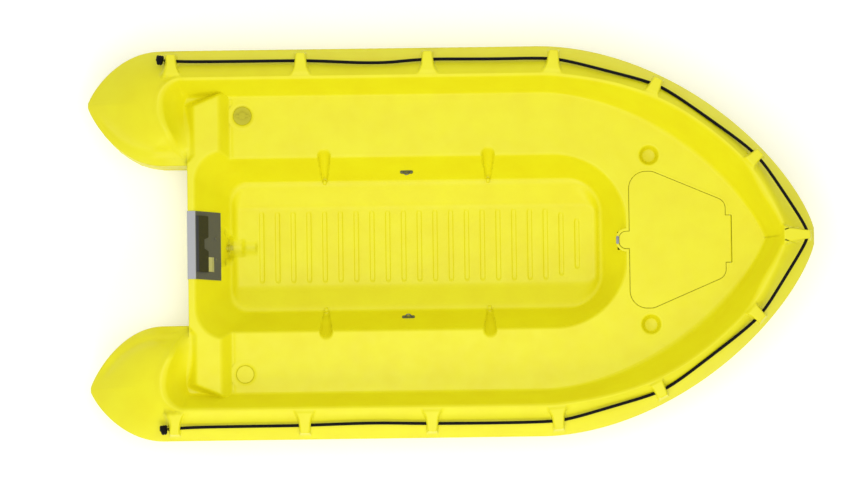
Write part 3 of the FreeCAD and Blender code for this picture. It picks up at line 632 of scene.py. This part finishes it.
def cockpit_z(x, y):
    floor_z = np.full(x.shape, 0.150)
    band = wall_height(x, y, band_box, 0.02, 0.40)
    low = soft_low(soft_high(band, floor_z, 0.006), floor_z + 0.040, 0.008)
    low = low - rib_depth(x, y) * (low < 0.152)
    wall = wall_height(x, y, well_box, -0.10, 0.56, scoop_distance)
    z = soft_high(low, wall, 0.014)
    z = soft_low(z, raised_top(x, y), 0.012)
    slope = np.maximum(np.abs(y) - 0.038 * (-0.866 - x) / 0.119, x + 0.866)
    sump = 0.133 + np.maximum(np.maximum(slope, -0.985 - x), 0) * 3.0
    return soft_low(z, sump, 0.004)


# %% Grid lines that crowd together at the edges
def crowded(ends, coarse, fine):
    """Values from low to high, a coarse step apart, and closer in the given stretches."""
    values = [ends[0]]
    while values[-1] < ends[1]:
        step = min([s for low, high, s in fine if low <= values[-1] + 1e-9 < high] + [coarse])
        values.append(values[-1] + step)
    return np.array(values[:-1] + [ends[1]])


def with_lines(values, places, offsets):
    """Replaces the lines near each place by lines at fixed offsets from it."""
    far = [v for v in values if min(abs(v - place) for place in places) > max(offsets) + 0.002]
    return np.array(sorted(far + [place + offset for place in places for offset in offsets]))


fine_x = [(-1.265, -0.955, 0.006), (-0.964, -0.860, 0.007), (-1.160, -1.090, 0.004),
          (-0.588, -0.520, 0.004), (0.137, 0.205, 0.004), (0.480, 0.740, 0.006),
          (0.740, 1.250, 0.007), (0.832, 0.930, 0.005)]
fine_y = [(0.028, 0.044, 0.003), (0.085, 0.162, 0.005), (0.162, 0.190, 0.005), (0.190, 0.258, 0.007),
          (0.258, 0.300, 0.004), (0.300, 0.330, 0.007), (0.330, 0.425, 0.005), (0.518, 0.660, 0.007)]
line_x = crowded((-1.266, 1.420), 0.016, fine_x)
line_x = with_lines(line_x, RIB_PLACES, (-0.0125, -0.0108, -0.0095, -0.0080, -0.0060, 0.0, 0.0060,
                                         0.0080, 0.0095, 0.0108, 0.0125))
line_y = crowded((0.0, 0.764), 0.020, fine_y)
gx, gy = np.meshgrid(line_x, line_y)
print("cockpit lines", len(line_x), len(line_y))

# %% [markdown]
# The grid is cut away past the inner wall, under the lid and under the cups. The lid's coaming and
# the cups then come as pieces of their own, with a flange that covers the cut edge.

# %% Lay the cockpit
LID_CORNERS = [(791, 301, 75), (791, 37, 3), (745, 37, 30), (745, -37, 30), (791, -37, 3),
               (791, -301, 75), (893, -301, 60), (1213, -165, 45), (1213, -103, 2),
               (1239.5, -103, 2), (1239.5, 103, 2), (1213, 103, 2), (1213, 165, 45), (893, 301, 60)]
CUP_X, CUP_Y = 0.881, 0.374
CAP_X, CAP_Y = -0.912, 0.571
CUT_RADIUS, LID_CUT, SKIRT_Z = 0.0425, 3.2, 0.357


def inside_outline(x, y, line):
    """Whether each point is inside a closed line."""
    crossed = np.zeros(x.shape, bool)
    for (ax, ay), (bx, by) in zip(line, np.roll(line, -1, axis=0)):
        spans = (ay > y) != (by > y)
        meets = ax + (y - ay) * (bx - ax) / (by - ay if by != ay else 1e-9)
        crossed ^= spans & (x < meets)
    return crossed


def grown_outline(corners, grow, points=8):
    """A rounded outline in metres, grown by an offset of its straight sides."""
    plan = [Vector((x, y)) for x, y, _ in corners]
    line = []
    for i, corner in enumerate(plan):
        back, on = (plan[i - 1] - corner).normalized(), (plan[(i + 1) % len(plan)] - corner).normalized()
        cross = back.x * on.y - back.y * on.x
        sign = 1 if cross < 0 else -1
        half = back.angle(on) / 2
        middle = (back + on).normalized()
        radius = max(0.5, corners[i][2] + sign * grow)
        moved = corner - middle * (sign * grow / math.sin(half))
        centre = moved + middle * (radius / math.sin(half))
        first, last = moved + back * (radius / math.tan(half)), moved + on * (radius / math.tan(half))
        for t in np.linspace(0, 1, points):
            chord = (first.lerp(last, t) - centre)
            line.append(centre + chord.normalized() * radius)
    return np.array([(p.x, p.y) for p in line]) / 1000


middle_line = np.concatenate([(crest * 0.5 + foot * 0.5), [(TAIL_START, 0.0)]])
clear = middle_line[middle_line[:, 1] >= 0]
clear = np.concatenate([[(1.44, -0.01)], clear, [(TAIL_START, -0.01)]])
keep = inside_outline(gx, gy, clear)
keep |= (gx < -1.05) & (gx > -1.1575) & (gy < 0.40)
keep &= ~inside_outline(gx, gy, grown_outline(LID_CORNERS, LID_CUT))
keep &= np.hypot(gx - CUP_X, gy - CUP_Y) > CUT_RADIUS
keep &= np.hypot(gx - CAP_X, gy - CAP_Y) > CUT_RADIUS
height = cockpit_z(gx, gy) - 0.0003
skirt = (gx < TRANSOM_X - 0.0001) & (gx > -1.1625) & (gy < 0.36)
points = np.stack([gx, gy, height], 2)
points[skirt, 0] = TRANSOM_X - 0.0005
points[skirt, 2] = SKIRT_Z
keep |= skirt
cockpit_piece = laid_grid("benches_and_well", points, deck_plastic, keep)
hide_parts("deck_shell")
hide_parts("deck_shell")


# %% [markdown]
# ### The back wall
# The transom's outer face and the inner sides of the tails close the boat's back. They are one
# upright strip that follows the gap between the tails, from the port tip round to the middle. The
# engineering model leaves this wall out by mistake, so only this piece closes the boat there. The
# heights of its foot are estimates. They keep within 3 mm of the hull's underside across the
# transom, but under the tails they are up to 11 mm low, and near the tips up to 41 mm high, which
# leaves a small gap.

# %% Back wall
WALL_TOP = 0.360


def gap_edge():
    """The gap's edge in plan, from beside the port tip in to the middle of the transom."""
    reach = np.linspace(0.10, 1, 40) ** 2
    centre, half = tail_line(reach)
    side = np.stack([STERN + TAIL_LENGTH * reach, centre - half + 0.002], 1)
    corner = [(-1.262, 0.356), (TRANSOM_X + 0.0005, 0.356)]
    across = [(TRANSOM_X + 0.0005, y) for y in np.linspace(0.34, 0.0, 18)]
    return np.concatenate([side, corner, across])


def foot_height(x, y):
    """An estimate of the underside's height: low at the keel, rising in the tails."""
    across = np.interp(np.abs(y), [0.060, 0.150, 0.354], [0.001, 0.017, 0.086])
    along_tail = np.interp(-x, [1.156, 1.270, 1.370, 1.460, 1.530, 1.575, 1.597],
                           [0.086, 0.102, 0.121, 0.141, 0.162, 0.203, 0.225])
    return np.where(x < TRANSOM_X - 0.001, along_tail, across)


gap_line = gap_edge()
tops = rim_z(gap_line, np.zeros(len(gap_line))) - 0.001
tops[gap_line[:, 1] < 0.35] = WALL_TOP
lows = foot_height(gap_line[:, 0], gap_line[:, 1])
levels = np.linspace(0, 1, 12)
wall_points = np.stack([np.column_stack([gap_line, lows + (tops - lows) * level]) for level in levels])
back_wall = laid_grid("transom_and_tail_sides", wall_points, deck_plastic)
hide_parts("deck_shell")


# %% [markdown]
# ## Cups, coaming and lashing eyes
# A cup is turned: one profile spun round its axis, and so are the seats of the two caps. The lid's
# coaming is a stack of outlines, each bridged to the next, so it follows the lid's shape with an
# even gap.

# %% Turned pieces
def turned_piece(name, profile, x, y):
    """A profile of (radius, height) spun round an upright axis."""
    shape = bmesh.new()
    verts = [shape.verts.new((r, 0, z)) for r, z in profile]
    edges = [shape.edges.new(pair) for pair in zip(verts, verts[1:])]
    bmesh.ops.spin(shape, geom=verts + edges, cent=(0, 0, 0), axis=(0, 0, 1), angle=2 * math.pi,
                   steps=64, use_merge=True)
    bmesh.ops.remove_doubles(shape, verts=shape.verts, dist=0.00005)
    bmesh.ops.translate(shape, verts=shape.verts, vec=(x, y, 0))
    bmesh.ops.recalc_face_normals(shape, faces=shape.faces)
    if max(shape.faces, key=lambda face: face.calc_center_median().z).normal.z < 0:
        bmesh.ops.reverse_faces(shape, faces=shape.faces)
    piece = finished(name, shape, deck_plastic)
    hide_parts("deck_shell")


CUP_PROFILE = [(0.0, 0.315), (0.024, 0.315), (0.029, 0.3165), (0.0315, 0.321), (0.0395, 0.350),
               (0.0415, 0.3565), (0.0445, 0.3595), (0.049, 0.3603), (0.056, 0.3600)]
CAP_SEAT = [(0.0368, 0.3550), (0.0392, 0.3550), (0.0398, 0.3590), (0.0410, 0.3603),
            (0.056, 0.3604), (0.066, 0.3600)]
turned_piece("cup_holder_port", CUP_PROFILE, CUP_X, CUP_Y)
turned_piece("cup_holder_starboard", CUP_PROFILE, CUP_X, -CUP_Y)
turned_piece("flush_cap_seat", CAP_SEAT, CAP_X, -CAP_Y)
turned_piece("screw_bung_seat", CAP_SEAT, CAP_X, CAP_Y)

# %% Coaming and locker
LOCKER_CORNERS = [(812, 262, 55), (812, -262, 55), (890, -262, 50), (1188, -130, 45),
                  (1188, 130, 45), (890, 262, 50)]


def ring(shape, line, z):
    verts = [shape.verts.new((x, y, z)) for x, y in line]
    return [shape.edges.new(pair) for pair in zip(verts, verts[1:] + verts[:1])]


def stacked(shape, corners, levels):
    rings = [ring(shape, grown_outline(corners, grow), z) for grow, z in levels]
    for lower, upper in zip(rings, rings[1:]):
        bmesh.ops.bridge_loops(shape, edges=lower + upper)
    return rings


locker = bmesh.new()
rim = stacked(locker, LID_CORNERS, [(14, 0.3600), (8, 0.3603), (4.0, 0.3600), (2.8, 0.3590),
                                    (2.5, 0.3575), (2.5, 0.3435)])
bin_rings = stacked(locker, LOCKER_CORNERS, [(0, 0.3435), (0, 0.236), (-4, 0.231), (-10, 0.230)])
bmesh.ops.triangle_fill(locker, edges=rim[-1] + bin_rings[0], use_beauty=True)
bmesh.ops.triangle_fill(locker, edges=bin_rings[-1], use_beauty=True)
bmesh.ops.recalc_face_normals(locker, faces=locker.faces)
if max(locker.faces, key=lambda face: face.calc_area()).normal.z < 0:
    bmesh.ops.reverse_faces(locker, faces=locker.faces)
locker_piece = finished("locker_and_coaming", locker, deck_plastic)
locker_piece.data.shade_flat()
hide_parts("deck_shell")


# %% Lashing eyes
def lashing_eye(name, x, side):
    """A short moulded barrel with a hole through it, at the foot of a hollow."""
    eye = bmesh.new()
    rings = []
    for place, radius in ((-0.007, 0.005), (-0.007, 0.0095), (-0.0055, 0.011), (0.0055, 0.011),
                          (0.007, 0.0095), (0.007, 0.005), (-0.007, 0.005)):
        made = bmesh.ops.create_circle(eye, segments=32, radius=radius,
                                       matrix=Matrix.Translation((place, 0, 0))
                                       @ Matrix.Rotation(math.pi / 2, 4, "Y"))
        rings.append(list({e for vert in made["verts"] for e in vert.link_edges}))
    for near, far in zip(rings, rings[1:]):
        bmesh.ops.bridge_loops(eye, edges=near + far)
    bmesh.ops.remove_doubles(eye, verts=eye.verts, dist=0.00005)
    bmesh.ops.recalc_face_normals(eye, faces=eye.faces)
    bmesh.ops.translate(eye, verts=eye.verts, vec=(x, side * 0.284, 0.199))
    piece = finished(name, eye, deck_plastic)
    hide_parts("deck_shell")


for x, where in ((-0.554, "aft"), (0.171, "fore")):
    lashing_eye("lashing_eye_port_" + where, x, 1)
    lashing_eye("lashing_eye_starboard_" + where, x, -1)

# %% [markdown]
# ## Grab line
# A 14 mm black braided polyester rope runs through all the lugs and ends in a stopper knot at
# each tail. Its route is a NURBS spline, which stays smooth through the lugs. The rope's surface is
# a ring carried along that spline, with a braid pattern on its own UV map.

# %% The rope's route
ROUTE = [
    (-1.250, 0.812, 0.460), (-1.196, 0.806, 0.461), (-0.975, 0.804, 0.463), (-0.700, 0.804, 0.462),
    (-0.600, 0.803, 0.463), (-0.312, 0.784, 0.484), (-0.140, 0.801, 0.464), (-0.045, 0.803, 0.463),
    (0.190, 0.799, 0.468), (0.420, 0.801, 0.466), (0.510, 0.790, 0.475), (0.695, 0.738, 0.498),
    (0.880, 0.688, 0.489), (0.965, 0.648, 0.493), (1.135, 0.523, 0.526), (1.300, 0.398, 0.535),
    (1.370, 0.328, 0.546), (1.455, 0.193, 0.586), (1.540, 0.058, 0.588), (1.566, 0.0, 0.580),
    (1.540, -0.058, 0.588), (1.455, -0.193, 0.586), (1.370, -0.328, 0.546), (1.300, -0.398, 0.535),
    (1.135, -0.523, 0.526), (0.965, -0.648, 0.493), (0.880, -0.688, 0.489), (0.695, -0.740, 0.498),
    (0.510, -0.791, 0.475), (0.420, -0.801, 0.466), (0.190, -0.803, 0.466), (-0.045, -0.802, 0.464),
    (-0.140, -0.801, 0.464), (-0.350, -0.795, 0.473), (-0.600, -0.801, 0.464),
    (-0.700, -0.803, 0.463), (-0.975, -0.803, 0.464), (-1.196, -0.805, 0.461),
    (-1.250, -0.812, 0.460)]


def spline_points(route, resolution=14):
    """Points read from a NURBS spline with no bevel."""
    data = bpy.data.curves.new("route", "CURVE")
    data.dimensions = "3D"
    line = data.splines.new("NURBS")
    line.points.add(len(route) - 1)
    for point, place in zip(line.points, route):
        point.co = (*place, 1)
    line.order_u = 3
    line.use_endpoint_u = True
    line.resolution_u = resolution
    holder = bpy.data.objects.new("route", data)
    mesh = bpy.data.meshes.new_from_object(holder)
    places = [vert.co.copy() for vert in mesh.vertices]
    bpy.data.objects.remove(holder)
    bpy.data.curves.remove(data)
    bpy.data.meshes.remove(mesh)
    return places


# %% Braided rope finish
def braided_polyester():
    """Two families of slanting strands that cross, so the surface shows small diamonds."""
    material, shader = new_finish("black_braided_polyester", "#0a0a0c", 0.8)
    shader.inputs["Specular IOR Level"].default_value = 0.2
    texture = add(material, "ShaderNodeUVMap", {"uv_map": "braid"})
    left = add(material, "ShaderNodeMapping", {"Rotation": (0, 0, 0.785), "Scale": (1, 1, 1)},
               Vector=texture.outputs["UV"])
    right = add(material, "ShaderNodeMapping", {"Rotation": (0, 0, -0.785), "Scale": (1, 1, 1)},
                Vector=texture.outputs["UV"])
    waves = [add(material, "ShaderNodeTexWave", {"Scale": 1.1, "Distortion": 0.4},
                 Vector=slanted.outputs["Vector"]) for slanted in (left, right)]
    plait = add(material, "ShaderNodeMath", {"operation": "MULTIPLY"})
    for i, wave in enumerate(waves):
        link(material, wave.outputs["Fac"], plait.inputs[i])
    tint = add(material, "ShaderNodeValToRGB", None, Fac=plait.outputs["Value"])
    tint.color_ramp.elements[0].color = colour("#050506")
    tint.color_ramp.elements[1].color = colour("#131317")
    link(material, tint.outputs["Color"], shader.inputs["Base Color"])
    bump = add(material, "ShaderNodeBump", {"Strength": 0.7, "Distance": 0.001},
               Height=plait.outputs["Value"])
    link(material, bump.outputs["Normal"], shader.inputs["Normal"])
    return material


rope_finish = braided_polyester()


# %% Rope tubes
ROPE_R = 0.007
BRAID_ROUND, BRAID_UNIT = 8, 0.0055


def rope_piece(name, places, node, sides=14):
    """A grid rolled into a tube round a line of points, with the braid's UV map."""
    tube = bmesh.new()
    bmesh.ops.create_grid(tube, x_segments=sides, y_segments=len(places) - 1, size=1)
    tube.verts.ensure_lookup_table()
    layer = tube.loops.layers.uv.new("braid")
    run, marks = 0.0, {}
    side = Vector((0, 0, 1))
    for k, place in enumerate(places):
        along_here = (places[min(k + 1, len(places) - 1)] - places[max(k - 1, 0)]).normalized()
        run += (place - places[k - 1]).length if k else 0.0
        side = (side - along_here * side.dot(along_here)).normalized()
        other = along_here.cross(side)
        for j in range(sides + 1):
            angle = 2 * math.pi * j / sides
            vert = tube.verts[k * (sides + 1) + j]
            vert.co = place + (side * math.cos(angle) + other * math.sin(angle)) * ROPE_R
            marks[vert] = (BRAID_ROUND * j / sides, run / BRAID_UNIT)
    for face in tube.faces:
        for loop in face.loops:
            loop[layer].uv = marks[loop.vert]
    bmesh.ops.remove_doubles(tube, verts=tube.verts, dist=0.00001)
    rims = [e for e in tube.edges if e.is_boundary]
    bmesh.ops.holes_fill(tube, edges=rims, sides=0)
    bmesh.ops.recalc_face_normals(tube, faces=tube.faces)
    piece = finished(name, tube, rope_finish)
    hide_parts(node)


route = spline_points(ROUTE)
length = sum((b - a).length for a, b in zip(route, route[1:]))
rope_piece("braided_grab_line", route, "grab_line")
print("rope", round(length, 3), "m")


# %% [markdown]
# A stopper knot here is the rope wound two and a half times round itself and pulled tight. A coil
# with its ends tucked in shows that better than a plain barrel.

# %% Stopper knots
KNOT_TURNS, KNOT_COIL_R = 2.5, 0.0145
KNOT_GAP, KNOT_RUN = 0.007, 0.024


def stopper_knot(name, end, before, node):
    start, axis = Vector(end), (Vector(end) - Vector(before)).normalized()
    up = (Vector((0, 0, 1)) - axis * axis.z).normalized()
    out = axis.cross(up)
    coil = []
    for t in np.linspace(0, 1, 120):
        angle = 2 * math.pi * KNOT_TURNS * t
        radius = KNOT_COIL_R * float(ease(np.array(min(t, 1 - t) * 9)))
        sideways = (up * math.cos(angle) + out * math.sin(angle)) * radius
        coil.append(start + axis * (KNOT_GAP + KNOT_RUN * t) + sideways)
    rope_piece(name, coil, node)


stopper_knot("stopper_knot_port", ROUTE[0], ROUTE[1], "knot_port")
stopper_knot("stopper_knot_starboard", ROUTE[-1], ROUTE[-2], "knot_starboard")
